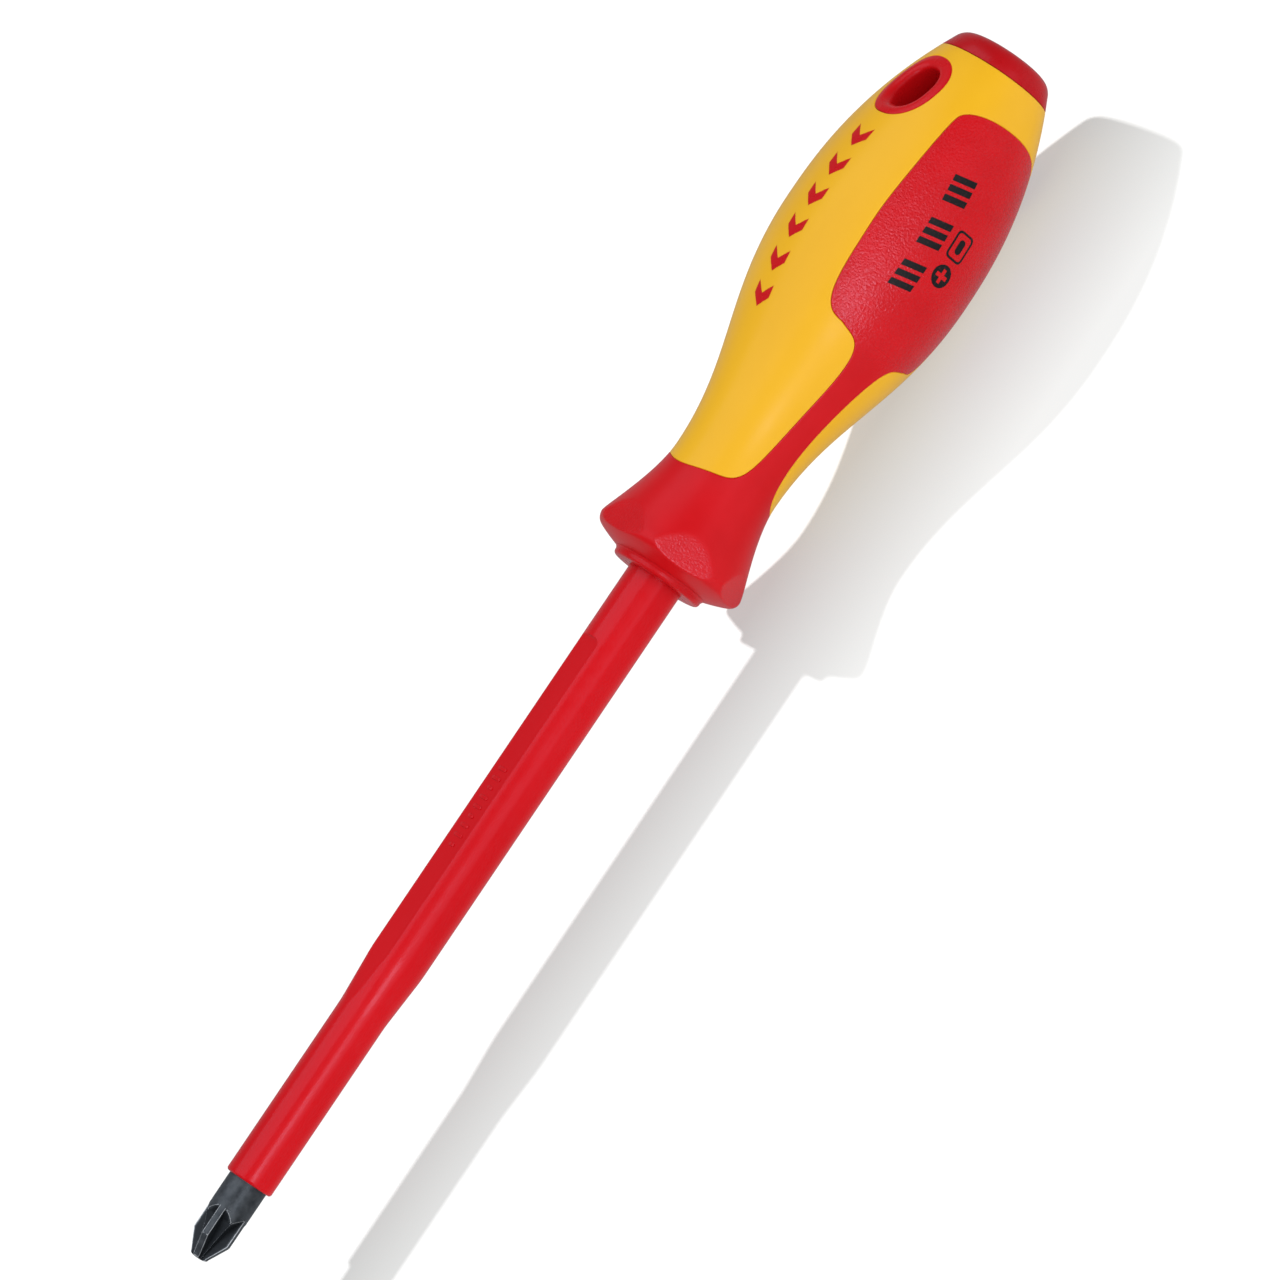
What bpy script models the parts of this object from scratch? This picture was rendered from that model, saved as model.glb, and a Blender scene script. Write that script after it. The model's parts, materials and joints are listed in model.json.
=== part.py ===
"""Insulated cross-point screwdriver, modelled as the separate pieces it is moulded from.

Frame: the origin is the middle of the tip's flat end and X runs along the tool to the butt.
Z runs along the hanging hole, and the two soft panels of the handle face +Y and -Y.
All dimensions below are in millimetres and are scaled to metres where a mesh is made.
"""
import math

import bmesh
import bpy
from mathutils import Vector
from mathutils.geometry import interpolate_bezier

MM = 0.001
GAP = 0.3
OVERLAP = 0.2
SEGMENTS = 40
QUARTER_TURN = math.radians(90)
EIGHTH_TURN = math.radians(45)

# Blade: 8 mm round bar with a size 3 cross tip, and pressed wings on its tang
BLADE_RADIUS = 4.0
TIP_END_RADIUS = 1.6
TIP_CONE_LENGTH = 4.5
TIP_WING_THICKNESS = 1.25
TIP_WING_TURN = math.radians(30)
TIP_ROOT_START = 0.95
TIP_ROOT_MIDDLE = (6.0, 2.15)
TIP_ROOT_END = (10.6, 4.2)
BLADE_END = 239.0
TANG_WING_STARTS = (196.0, 216.0)
TANG_WING_SIZE = (10.0, 11.0, 2.4)

# Insulating sleeve: a slim front, a cone, and a thicker rear with two flats
SLEEVE_START = 16.6
SLEEVE_END = 166.0
SLEEVE_EDGE = 0.9
SLIM_RADIUS = 4.87
THICK_RADIUS = 5.6
CONE_START = 54.5
CONE_END = 65.5
FLAT_END = 136.0

# Nose collar
COLLAR_FRONT = 151.4
COLLAR_BACK = 152.8
COLLAR_RADIUS = 9.35
COLLAR_SPIGOT_RADIUS = 7.2
COLLAR_SPIGOT_END = 157.0

# Handle outline from the guard's rim to the cap's rim: knots (x, radius) with two handles each
GUARD_FRONT = (153.1, 9.9)
GUARD_SHOULDER = (154.9, 14.6)
GUARD_NOSE = (155.7, 15.35)
HANDLE_CURVES = (
    ((156.8, 15.6), (158.4, 15.3), (168.4, 11.0), (175.0, 11.0)),
    ((175.0, 11.0), (194.5, 11.0), (203.8, 19.75), (225.7, 19.75)),
    ((225.7, 19.75), (233.7, 19.75), (248.8, 19.7), (268.0, 10.32)),
    ((268.0, 10.32), (269.3, 9.6), (270.0, 8.6), (270.0, 6.2)),
)
CURVE_STEPS = 10
GUARD_FLATS = 6
GUARD_FLAT_DISTANCE = 14.2
GUARD_FLAT_END = 168.0

# Soft grip: half of its outline seen along Y, from the guard to the top of the panel
GRIP_START = 171.2
GRIP_CURVES = (
    ((171.2, 11.9), (175.5, 7.2), (169.1, 2.87), (190.1, 2.87)),
    ((190.1, 2.87), (208.8, 2.87), (207.2, 5.5), (208.8, 9.46)),
    ((208.8, 9.46), (209.5, 11.1), (207.1, 15.17), (228.2, 15.17)),
    ((228.2, 15.17), (237.8, 15.17), (250.5, 12.4), (252.9, 11.25)),
    ((252.9, 11.25), (256.0, 9.7), (256.5, 3.9), (256.5, 0.0)),
)
GRIP_STEPS = 6
GRIP_END = 257.5

# Handle core, shell and cap
WALL = 3.0
CORE_START = 157.3
CORE_END = 263.0
CORE_NECK_RADIUS = 7.7
CORE_NECK_END = 175.0
SHELL_START = 170.5
CAP_JOINT = 265.1
CAP_SPIGOT_RADIUS = 8.0
STATION_STEP = 4.5

# Hanging hole and its eye: middle, half length along X, half width along Y
EYE_OUTSIDE = (254.15, 7.75, 6.4)
EYE_INSIDE = (254.1, 5.0, 3.7)
EYE_SQUARENESS = 2.3
EYE_POINTS = 36

# Inlaid arrow marks on the upper cheek
MARK_COUNT = 6
MARK_FIRST = 205.6
MARK_PITCH = 6.9
MARK_HALF_WIDTH = 2.0
MARK_STROKE = 1.9
MARK_SLANT = 2.0
MARK_DEPTH = 1.5

# Reach of the cutters past the handle, and past the tip's sides and its end
REACH = 30.0
TIP_REACH = 5.0
TIP_CLEAR = 1.0
# End of the solid of the handle's outside that trims the eye and the marks
FORM_END = 265.5

COLOURS = {
    "steel": ((0.045, 0.052, 0.058, 1.0), 0.35, 1.0),
    "red_hard": ((0.56, 0.012, 0.014, 1.0), 0.32, 0.0),
    "red_soft": ((0.58, 0.012, 0.016, 1.0), 0.45, 0.0),
    "yellow_hard": ((0.93, 0.48, 0.035, 1.0), 0.38, 0.0),
}


def clear_scene():
    for scene_object in list(bpy.data.objects):
        bpy.data.objects.remove(scene_object, do_unlink=True)


def make_collection(name):
    collection = bpy.data.collections.new(name)
    bpy.context.scene.collection.children.link(collection)
    return collection


def make_material(name, look):
    colour, roughness, metallic = COLOURS[look]
    material = bpy.data.materials.new(name)
    material.use_nodes = True
    shader = material.node_tree.nodes["Principled BSDF"]
    shader.inputs["Base Color"].default_value = colour
    shader.inputs["Roughness"].default_value = roughness
    shader.inputs["Metallic"].default_value = metallic
    material.diffuse_color = colour
    return material


def link_part(name, mesh, look):
    part = bpy.data.objects.new(name, mesh)
    mesh.materials.append(make_material(name, look))
    parts.objects.link(part)
    return part


def link_cutter(name, mesh):
    cutter = bpy.data.objects.new(name, mesh)
    cutter.hide_render = True
    cutter.display_type = "WIRE"
    cutters.objects.link(cutter)
    return cutter


# ---- shape helpers -------------------------------------------------------------------------

def curve_points(curves, steps):
    """Points along a chain of cubic curves, each given as four (x, y) points."""
    points = []
    for start, start_handle, end_handle, end in curves:
        corners = [Vector((x, y, 0.0)) for x, y in (start, start_handle, end_handle, end)]
        run = interpolate_bezier(*corners, steps + 1)
        points.extend((point.x, point.y) for point in run[:-1])
    points.append(curves[-1][-1])
    return points


def radius_at(outline, station):
    """Radius of the handle's outline at one station along X, held constant past its ends."""
    if station <= outline[0][0]:
        return outline[0][1]
    for (x0, r0), (x1, r1) in zip(outline, outline[1:]):
        if x0 <= station <= x1:
            return r0 + (r1 - r0) * (station - x0) / max(x1 - x0, 1e-9)
    return outline[-1][1]


def stations(start, end):
    """Evenly spaced stations from start to end, both included."""
    count = max(1, round((end - start) / STATION_STEP))
    return [start + (end - start) * index / count for index in range(count + 1)]


def turned_mesh(name, profile, ring):
    """Profile mesh of (x, radius) points given from butt to tip down the outer side."""
    mesh = bpy.data.meshes.new(name)
    verts = [(radius * MM, 0.0, x * MM) for x, radius in profile]
    edges = [(index, index + 1) for index in range(len(verts) - 1)]
    if ring:
        edges.append((len(verts) - 1, 0))
    mesh.from_pydata(verts, edges, [])
    return mesh


def turn_about_axis(part):
    """Spin the object's profile about its own Z and lay that axis along world X."""
    screw = part.modifiers.new("turn", "SCREW")
    screw.steps = SEGMENTS
    screw.render_steps = SEGMENTS
    screw.use_merge_vertices = True
    screw.merge_threshold = 0.00001
    screw.use_smooth_shade = True
    part.rotation_euler = (0.0, QUARTER_TURN, 0.0)


def turned_part(name, profile, look, ring=False):
    part = link_part(name, turned_mesh(name, profile, ring), look)
    turn_about_axis(part)
    return part


def turned_cutter(name, profile):
    cutter = link_cutter(name, turned_mesh(name, profile, False))
    turn_about_axis(cutter)
    return cutter


def drum(name, start, end, radius):
    """A plain round cutter along X."""
    return turned_cutter(name, [(end, 0.0), (end, radius), (start, radius), (start, 0.0)])


def box_mesh(name, size):
    mesh = bpy.data.meshes.new(name)
    shape = bmesh.new()
    bmesh.ops.create_cube(shape, size=1.0)
    bmesh.ops.scale(shape, verts=shape.verts, vec=[side * MM for side in size])
    shape.to_mesh(mesh)
    shape.free()
    return mesh


def box_cutter(name, low, high, turn=0.0):
    """A box between two corners, turned about the X axis through the origin."""
    size = [b - a for a, b in zip(low, high)]
    middle = Vector([(a + b) / 2 * MM for a, b in zip(low, high)])
    cutter = link_cutter(name, box_mesh(name, size))
    cutter.rotation_euler = (turn, 0.0, 0.0)
    cutter.location = (
        middle.x,
        middle.y * math.cos(turn) - middle.z * math.sin(turn),
        middle.y * math.sin(turn) + middle.z * math.cos(turn),
    )
    return cutter


def frustum_cutter(name, start, end, start_half, end_half, turn):
    """A square tapered block along X, from one half side to the other. Its mesh has its corners
    on the axes, so it takes an eighth of a turn more."""
    mesh = bpy.data.meshes.new(name)
    shape = bmesh.new()
    bmesh.ops.create_cone(
        shape, cap_ends=True, segments=4, depth=(end - start) * MM,
        radius1=start_half * math.sqrt(2) * MM, radius2=end_half * math.sqrt(2) * MM)
    shape.to_mesh(mesh)
    shape.free()
    cutter = link_cutter(name, mesh)
    cutter.rotation_mode = "ZYX"
    cutter.rotation_euler = (turn + EIGHTH_TURN, QUARTER_TURN, 0.0)
    cutter.location = ((start + end) / 2 * MM, 0.0, 0.0)
    return cutter


def grown(points, margin):
    """An anticlockwise outline moved outwards by a margin, with its corners kept sharp."""
    count = len(points)
    moved = []
    for index, (x, y) in enumerate(points):
        before = Vector(points[index - 1])
        here = Vector((x, y))
        after = Vector(points[(index + 1) % count])
        into = (here - before).normalized()
        out = (after - here).normalized()
        normal = Vector((into.y + out.y, -into.x - out.x))
        reach = margin / (1.0 + into.dot(out))
        moved.append((x + normal.x * reach, y + normal.y * reach))
    return moved


def prism(name, points, half_height, facing_y=False):
    """A flat outline made into a block, upright along Z or, if facing_y, along Y."""
    curve = bpy.data.curves.new(name, "CURVE")
    curve.dimensions = "2D"
    curve.fill_mode = "BOTH"
    curve.extrude = half_height * MM
    spline = curve.splines.new("POLY")
    spline.points.add(len(points) - 1)
    for point, (x, y) in zip(spline.points, points):
        point.co = (x * MM, y * MM, 0.0, 1.0)
    spline.use_cyclic_u = True
    outline = bpy.data.objects.new(name + "_outline", curve)
    cutters.objects.link(outline)
    evaluated = outline.evaluated_get(bpy.context.evaluated_depsgraph_get())
    mesh = bpy.data.meshes.new_from_object(evaluated)
    bpy.data.objects.remove(outline, do_unlink=True)
    shape = bmesh.new()
    shape.from_mesh(mesh)
    bmesh.ops.remove_doubles(shape, verts=shape.verts, dist=0.00001)
    bmesh.ops.recalc_face_normals(shape, faces=shape.faces)
    shape.to_mesh(mesh)
    shape.free()
    cutter = link_cutter(name, mesh)
    if facing_y:
        cutter.rotation_euler = (QUARTER_TURN, 0.0, 0.0)
    return cutter


def prism_mesh(name, points):
    """The mesh of a block along Z, for a piece and not for a cutter."""
    block = prism(name + "_block", points, REACH)
    mesh = block.data
    bpy.data.objects.remove(block, do_unlink=True)
    return mesh


def combine(target, other, operation):
    boolean = target.modifiers.new(operation.lower() + "_" + other.name, "BOOLEAN")
    boolean.operation = operation
    boolean.solver = "EXACT"
    boolean.object = other


def oval(middle, half_length, half_width, squareness, margin=0.0):
    """A rounded oval in the XY plane, a little squarer than an ellipse, anticlockwise."""
    points = []
    for index in range(EYE_POINTS):
        angle = math.tau * index / EYE_POINTS
        cosine = math.cos(angle)
        sine = math.sin(angle)
        x = math.copysign(abs(cosine) ** (2 / squareness), cosine)
        y = math.copysign(abs(sine) ** (2 / squareness), sine)
        points.append((middle + (half_length + margin) * x, (half_width + margin) * y))
    return points


# ---- outlines ------------------------------------------------------------------------------

def grip_outline(margin):
    """The soft grip's whole outline seen along Y, anticlockwise and grown by a margin."""
    half = curve_points(GRIP_CURVES, GRIP_STEPS)
    lower = [(x, -y) for x, y in half]
    upper = list(reversed(half[:-1]))
    points = [(x, y) for x, y in lower + upper]
    points += [(GRIP_START, REACH), (GUARD_FRONT[0] - 5.0, REACH)]
    points += [(GUARD_FRONT[0] - 5.0, -REACH), (GRIP_START, -REACH)]
    return grown(points, margin)


def core_radius(station):
    if station <= CORE_NECK_END:
        return CORE_NECK_RADIUS
    return radius_at(handle_outline, station) - WALL - GAP


def handle_ring(start, end, inner_end=None):
    """Profile of a layer between the handle's outside and its core, from butt to tip."""
    outer = [(x, radius_at(handle_outline, x)) for x in reversed(stations(start, end))]
    inner = [(x, core_radius(x) + GAP) for x in stations(start, inner_end or end)]
    return outer + inner


def arrow_outline(middle):
    """An arrow mark pointing at the tip, anticlockwise in the XY plane."""
    half = MARK_HALF_WIDTH
    back = middle + MARK_SLANT / 2
    front = middle - MARK_SLANT / 2
    stroke = MARK_STROKE / 2
    return [
        (back + stroke, half), (back - stroke, half), (front - stroke, 0.0),
        (back - stroke, -half), (back + stroke, -half), (front + stroke, 0.0),
    ]


# ---- the pieces ----------------------------------------------------------------------------

def make_blade():
    profile = [
        (BLADE_END, 0.0), (BLADE_END, BLADE_RADIUS - 0.5), (BLADE_END - 0.5, BLADE_RADIUS),
        (TIP_ROOT_END[0] + 2.0, BLADE_RADIUS), (TIP_CONE_LENGTH, BLADE_RADIUS),
        (0.0, TIP_END_RADIUS), (0.0, 0.0)]
    blade = turned_part("blade", profile, "steel")
    middle_x, middle_half = TIP_ROOT_MIDDLE
    end_x, end_half = TIP_ROOT_END
    half_wing = TIP_WING_THICKNESS / 2
    keep = box_cutter("tip_wing_a", (-TIP_CLEAR, -half_wing, -TIP_REACH),
                      (end_x + TIP_CLEAR, half_wing, TIP_REACH), TIP_WING_TURN)
    other_wing = box_cutter("tip_wing_b", (-TIP_CLEAR, -TIP_REACH, -half_wing),
                            (end_x + TIP_CLEAR + OVERLAP, TIP_REACH, half_wing), TIP_WING_TURN)
    slope = (middle_half - TIP_ROOT_START) / middle_x
    root_start = -TIP_CLEAR - OVERLAP
    root = frustum_cutter("tip_root", root_start, middle_x + OVERLAP,
                          TIP_ROOT_START + root_start * slope,
                          middle_half + OVERLAP * slope, TIP_WING_TURN)
    runout = frustum_cutter("tip_runout", middle_x, end_x, middle_half, end_half, TIP_WING_TURN)
    shank = drum("shank_keep", end_x - OVERLAP, BLADE_END + TIP_REACH, TIP_REACH)
    for piece in (other_wing, root, runout, shank):
        combine(keep, piece, "UNION")
    combine(blade, keep, "INTERSECT")
    length, width, thickness = TANG_WING_SIZE
    for index, start in enumerate(TANG_WING_STARTS):
        wing = box_cutter("tang_wing_%d" % index, (start, -width / 2, -thickness / 2),
                          (start + length, width / 2, thickness / 2))
        combine(blade, wing, "UNION")
    return blade


def make_sleeve():
    edge = SLEEVE_EDGE
    bore = BLADE_RADIUS + GAP
    front = [(SLEEVE_START + edge * (1 - math.sin(turn)), SLIM_RADIUS - edge * (1 - math.cos(turn)))
             for turn in (0.0, math.radians(35), math.radians(70))]
    front[-1] = (SLEEVE_START, bore)
    profile = [(SLEEVE_END, THICK_RADIUS), (CONE_END, THICK_RADIUS), (CONE_START, SLIM_RADIUS)]
    profile += front + [(SLEEVE_END, bore)]
    sleeve = turned_part("blade_sleeve", profile, "red_hard", ring=True)
    for side, name in ((1, "sleeve_flat_top"), (-1, "sleeve_flat_bottom")):
        near, far = sorted((side * SLIM_RADIUS, side * 12.0))
        flat = box_cutter(name, (CONE_START - 4.0, -12.0, near), (FLAT_END, 12.0, far))
        combine(sleeve, flat, "DIFFERENCE")
    return sleeve


def make_collar():
    bore = THICK_RADIUS + GAP
    profile = [
        (COLLAR_SPIGOT_END, COLLAR_SPIGOT_RADIUS), (COLLAR_BACK, COLLAR_SPIGOT_RADIUS),
        (COLLAR_BACK, COLLAR_RADIUS), (COLLAR_FRONT + 0.5, COLLAR_RADIUS),
        (COLLAR_FRONT, COLLAR_RADIUS - 0.5), (COLLAR_FRONT, bore), (COLLAR_SPIGOT_END, bore)]
    return turned_part("nose_collar", profile, "red_hard", ring=True)


def make_core(eye_cutter):
    profile = [(CORE_END, 0.0)]
    profile += [(x, core_radius(x)) for x in reversed(stations(CORE_START, CORE_END))]
    profile.append((CORE_START, 0.0))
    core = turned_part("handle_core", profile, "red_hard")
    bore = BLADE_RADIUS + GAP
    socket = THICK_RADIUS + GAP
    socket_end = SLEEVE_END + GAP
    tang_bore = turned_cutter("tang_bore", [
        (BLADE_END + GAP, 0.0), (BLADE_END + GAP, bore), (socket_end, bore),
        (socket_end, socket), (CORE_START - 5.0, socket), (CORE_START - 5.0, 0.0)])
    length, width, thickness = TANG_WING_SIZE
    slot = box_cutter(
        "tang_slot", (TANG_WING_STARTS[0] - GAP, -width / 2 - GAP, -thickness / 2 - GAP),
        (TANG_WING_STARTS[-1] + length + GAP, width / 2 + GAP, thickness / 2 + GAP))
    combine(tang_bore, slot, "UNION")
    combine(core, tang_bore, "DIFFERENCE")
    combine(core, eye_cutter, "DIFFERENCE")
    return core


def make_shell(eye_cutter, mark_pockets):
    lip = CAP_SPIGOT_RADIUS + GAP
    joint = CAP_JOINT - GAP / 2
    lip_start = CORE_END + GAP
    profile = handle_ring(SHELL_START, joint, lip_start) + [(lip_start, lip), (joint, lip)]
    shell = turned_part("handle_shell", profile, "yellow_hard", ring=True)
    window = prism("grip_window", grip_outline(GAP), REACH, facing_y=True)
    combine(shell, window, "DIFFERENCE")
    combine(shell, eye_cutter, "DIFFERENCE")
    for pocket in mark_pockets:
        combine(shell, pocket, "DIFFERENCE")
    return shell


def make_grip():
    rim = handle_outline[0][0]
    ring = handle_ring(rim, GRIP_END)
    split = len(stations(rim, GRIP_END))
    front = [GUARD_NOSE, GUARD_SHOULDER, GUARD_FRONT, (GUARD_FRONT[0], CORE_NECK_RADIUS + GAP)]
    profile = ring[:split] + front + ring[split + 1:]
    grip = turned_part("soft_grip", profile, "red_soft", ring=True)
    combine(grip, prism("grip_keep", grip_outline(0.0), REACH, facing_y=True), "INTERSECT")
    nut = drum("guard_blank", GUARD_FRONT[0] - 2.0, GUARD_FLAT_END, 24.0)
    mesh = bpy.data.meshes.new("guard_hexagon")
    shape = bmesh.new()
    corner = GUARD_FLAT_DISTANCE / math.cos(math.pi / GUARD_FLATS) * MM
    bmesh.ops.create_cone(shape, cap_ends=True, segments=GUARD_FLATS, depth=40.0 * MM,
                          radius1=corner, radius2=corner)
    shape.to_mesh(mesh)
    shape.free()
    hexagon = link_cutter("guard_hexagon", mesh)
    hexagon.rotation_euler = (0.0, QUARTER_TURN, 0.0)
    hexagon.location = ((GUARD_FRONT[0] + GUARD_FLAT_END) / 2 * MM, 0.0, 0.0)
    combine(nut, hexagon, "DIFFERENCE")
    combine(grip, nut, "DIFFERENCE")
    return grip


def make_cap():
    butt = [point for point in reversed(handle_outline) if point[0] > CAP_JOINT + GAP]
    joint = CAP_JOINT + GAP / 2
    profile = [(butt[0][0], 0.0)] + butt + [
        (joint, radius_at(handle_outline, joint)), (joint, CAP_SPIGOT_RADIUS),
        (CORE_END + 2 * GAP, CAP_SPIGOT_RADIUS), (CORE_END + 2 * GAP, 0.0)]
    return turned_part("end_cap", profile, "red_hard")


def make_eye(handle_form):
    eye = link_part("hanger_eye", prism_mesh("hanger_eye", oval(*EYE_OUTSIDE, EYE_SQUARENESS)),
                    "red_hard")
    hole = prism("hanging_hole", oval(*EYE_INSIDE, EYE_SQUARENESS), REACH)
    combine(eye, handle_form, "INTERSECT")
    combine(eye, hole, "DIFFERENCE")
    return eye


def make_marks(handle_form):
    """Six inlaid arrows and the pockets that hold them."""
    pockets = []
    for index in range(MARK_COUNT):
        middle = MARK_FIRST + MARK_PITCH * index
        floor = radius_at(handle_outline, middle) - MARK_DEPTH
        name = "mark_inlay_%d" % (index + 1)
        mark = link_part(name, prism_mesh(name, arrow_outline(middle)), "red_hard")
        mark.location.z = (floor + REACH) * MM
        combine(mark, handle_form, "INTERSECT")
        pocket = prism(name + "_pocket", grown(arrow_outline(middle), GAP), REACH)
        pocket.location.z = (floor - GAP + REACH) * MM
        pockets.append(pocket)
    return pockets


clear_scene()
parts = make_collection("insulated_screwdriver")
cutters = make_collection("cutters")
handle_outline = curve_points(HANDLE_CURVES, CURVE_STEPS)
form_profile = [(x, radius_at(handle_outline, x)) for x in reversed(stations(SHELL_START, FORM_END))]
handle_body = turned_cutter("handle_form", [(FORM_END, 0.0)] + form_profile + [(SHELL_START, 0.0)])
eye_pocket = prism("eye_pocket", oval(*EYE_OUTSIDE, EYE_SQUARENESS, GAP), REACH)

make_blade()
make_sleeve()
make_collar()
make_core(eye_pocket)
make_shell(eye_pocket, make_marks(handle_body))
make_grip()
make_cap()
make_eye(handle_body)
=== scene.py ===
"""Looks of an insulated cross-point screwdriver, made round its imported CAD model.

All sizes are in millimetres in the CAD's frame: X runs from the tip to the butt, Z along the
hanging hole, and the two soft panels face +Y and -Y. Meshes turn into metres where they are made.
"""
import json
import math

import bmesh
import bpy
import numpy as np
from mathutils import Matrix, Vector
from mathutils.geometry import delaunay_2d_cdt, interpolate_bezier
from mathutils.kdtree import KDTree

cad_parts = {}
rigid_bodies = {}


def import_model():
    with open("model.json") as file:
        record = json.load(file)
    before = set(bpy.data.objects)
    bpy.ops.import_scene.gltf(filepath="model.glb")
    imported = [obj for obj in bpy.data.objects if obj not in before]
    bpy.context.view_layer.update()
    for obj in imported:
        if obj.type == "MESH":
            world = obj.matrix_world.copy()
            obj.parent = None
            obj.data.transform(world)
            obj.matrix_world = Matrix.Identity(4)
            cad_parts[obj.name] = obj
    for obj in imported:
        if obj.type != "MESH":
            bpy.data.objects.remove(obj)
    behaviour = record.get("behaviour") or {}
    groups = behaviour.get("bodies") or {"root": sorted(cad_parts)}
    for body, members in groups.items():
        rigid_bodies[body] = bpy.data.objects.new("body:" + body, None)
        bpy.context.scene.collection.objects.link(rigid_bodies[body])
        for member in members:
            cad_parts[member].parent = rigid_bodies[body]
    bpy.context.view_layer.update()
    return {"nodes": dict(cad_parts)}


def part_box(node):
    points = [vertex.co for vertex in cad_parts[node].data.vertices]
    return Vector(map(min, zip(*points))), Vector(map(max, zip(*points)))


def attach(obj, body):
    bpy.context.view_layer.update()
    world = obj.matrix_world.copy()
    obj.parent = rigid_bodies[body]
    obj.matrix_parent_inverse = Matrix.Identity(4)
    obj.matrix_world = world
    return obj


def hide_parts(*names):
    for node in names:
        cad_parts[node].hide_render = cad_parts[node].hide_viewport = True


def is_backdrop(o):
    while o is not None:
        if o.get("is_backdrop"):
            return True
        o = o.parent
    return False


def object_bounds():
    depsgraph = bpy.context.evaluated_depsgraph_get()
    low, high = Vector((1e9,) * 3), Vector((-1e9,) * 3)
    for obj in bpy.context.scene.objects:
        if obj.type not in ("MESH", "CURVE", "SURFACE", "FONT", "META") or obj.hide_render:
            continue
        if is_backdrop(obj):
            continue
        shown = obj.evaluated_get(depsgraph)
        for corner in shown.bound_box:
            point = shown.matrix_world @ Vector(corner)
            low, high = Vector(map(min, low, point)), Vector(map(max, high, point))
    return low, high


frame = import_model()

MM = 0.001
HALF_PI = math.pi / 2


def node_box(node):
    """A CAD node's lowest and highest corners, in millimetres."""
    return [[round(value / MM, 3) for value in corner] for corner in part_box(node)]


# Handle outline: guard front, guard shoulder, then the grip, the belly and the butt (x, radius)
GUARD_CURVES = (
    ((152.88, 8.2), (152.9, 8.8), (152.9, 9.2), (153.0, 9.6)),
    ((153.0, 9.6), (153.2, 10.4), (154.3, 13.6), (154.9, 14.6)),
    ((154.9, 14.6), (155.3, 15.2), (156.0, 15.6), (156.8, 15.6)),
)
HANDLE_CURVES = (
    ((156.8, 15.6), (158.4, 15.3), (168.4, 11.0), (175.0, 11.0)),
    ((175.0, 11.0), (194.5, 11.0), (203.8, 19.75), (225.7, 19.75)),
    ((225.7, 19.75), (233.7, 19.75), (248.8, 19.7), (268.0, 10.32)),
    ((268.0, 10.32), (269.3, 9.6), (270.0, 8.6), (270.0, 6.2)),
)
CURVE_STEPS = 60
GUARD_FLAT_DISTANCE = 14.2
GUARD_FLAT_TURN = math.radians(60)
GUARD_FLATS_END = 175.0
GUARD_EDGE = 0.09
GUARD_FINE_END = 164.0

# Half of the soft grip's outline seen along Y (x, half width)
GRIP_CURVES = (
    ((171.2, 11.9), (175.5, 7.2), (169.1, 2.87), (190.1, 2.87)),
    ((190.1, 2.87), (208.8, 2.87), (207.2, 5.5), (208.8, 9.46)),
    ((208.8, 9.46), (209.5, 11.1), (207.1, 15.17), (228.2, 15.17)),
    ((228.2, 15.17), (237.8, 15.17), (250.5, 12.4), (252.9, 11.25)),
    ((252.9, 11.25), (256.0, 9.7), (256.5, 3.9), (256.5, 0.0)),
)
GRAIN_EDGE = (203.0, 209.0)
GUARD_GRAIN = 0.5

# Seams: how far the edge beside each one is rounded, and half the gap between two edges
SEAM_ROUNDING = 0.18
SEAM_GAP = 0.02

# Butt cap
CAP_JOINT = 265.1
CAP_START, CAP_END = (corner[0] for corner in node_box("end_cap"))
CAP_SPIGOT_RADIUS = 8.0
CAP_FACE_RADIUS = 6.2

# Hanging hole: middle, half length along X and half width along Y
EYE_LOW, EYE_HIGH = node_box("hanger_eye")
EYE_OUTSIDE = (round((EYE_LOW[0] + EYE_HIGH[0]) / 2, 3), round((EYE_HIGH[0] - EYE_LOW[0]) / 2, 3),
               EYE_HIGH[1])
EYE_INSIDE = (254.1, 5.0, 3.7)
EYE_SQUARENESS = 2.3
EYE_LIP = 1.9

# Inlaid arrows
MARK_COUNT = sum(name.startswith("mark_inlay") for name in frame["nodes"])
MARK_LOW, MARK_HIGH = node_box("mark_inlay_1")
MARK_FIRST = round((MARK_LOW[0] + MARK_HIGH[0]) / 2, 3)
MARK_PITCH = round(node_box("mark_inlay_2")[0][0] - MARK_LOW[0], 3)
MARK_HALF_WIDTH = MARK_HIGH[1]
MARK_STROKE = 1.9
MARK_SLANT = 2.0

# Front collar: its flange, the spigot behind it and the bore round the sleeve
COLLAR_START, COLLAR_END = (corner[0] for corner in node_box("nose_collar"))
FLANGE_RADIUS = 9.42
SPIGOT_RADIUS = 7.2
COLLAR_BORE = 5.66

# Blade and its cross tip
BLADE_END = node_box("blade")[1][0]
BLADE_CHAMFER = 0.5
TIP_TURN = math.radians(30)
TIP_WING = 1.25
TIP_CONE = ((0.0, 1.52), (4.5, 3.93), (4.75, 4.0))
TIP_DOME = ((0.0, 0.25), (0.07, 0.6), (0.22, 0.84), (0.45, 0.96), (0.7, 1.0))
TIP_SHOULDER = 4.6
TIP_WORN_LINE = 0.09
TIP_STEP = 0.2
TIP_VALLEY = math.radians(22)
TIP_RIDGE = math.radians(34)
TIP_ROOT = ((0.0, 0.9), (3.5, 1.5), (6.5, 2.1), (8.6, 2.83), (10.4, 3.95), (10.7, 4.3))
TIP_LENGTH = 11.0
TANG_WINGS = ((196.0, 206.0), (216.0, 226.0))
TANG_WING_HALF = (node_box("blade")[1][1], 1.2)

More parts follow.
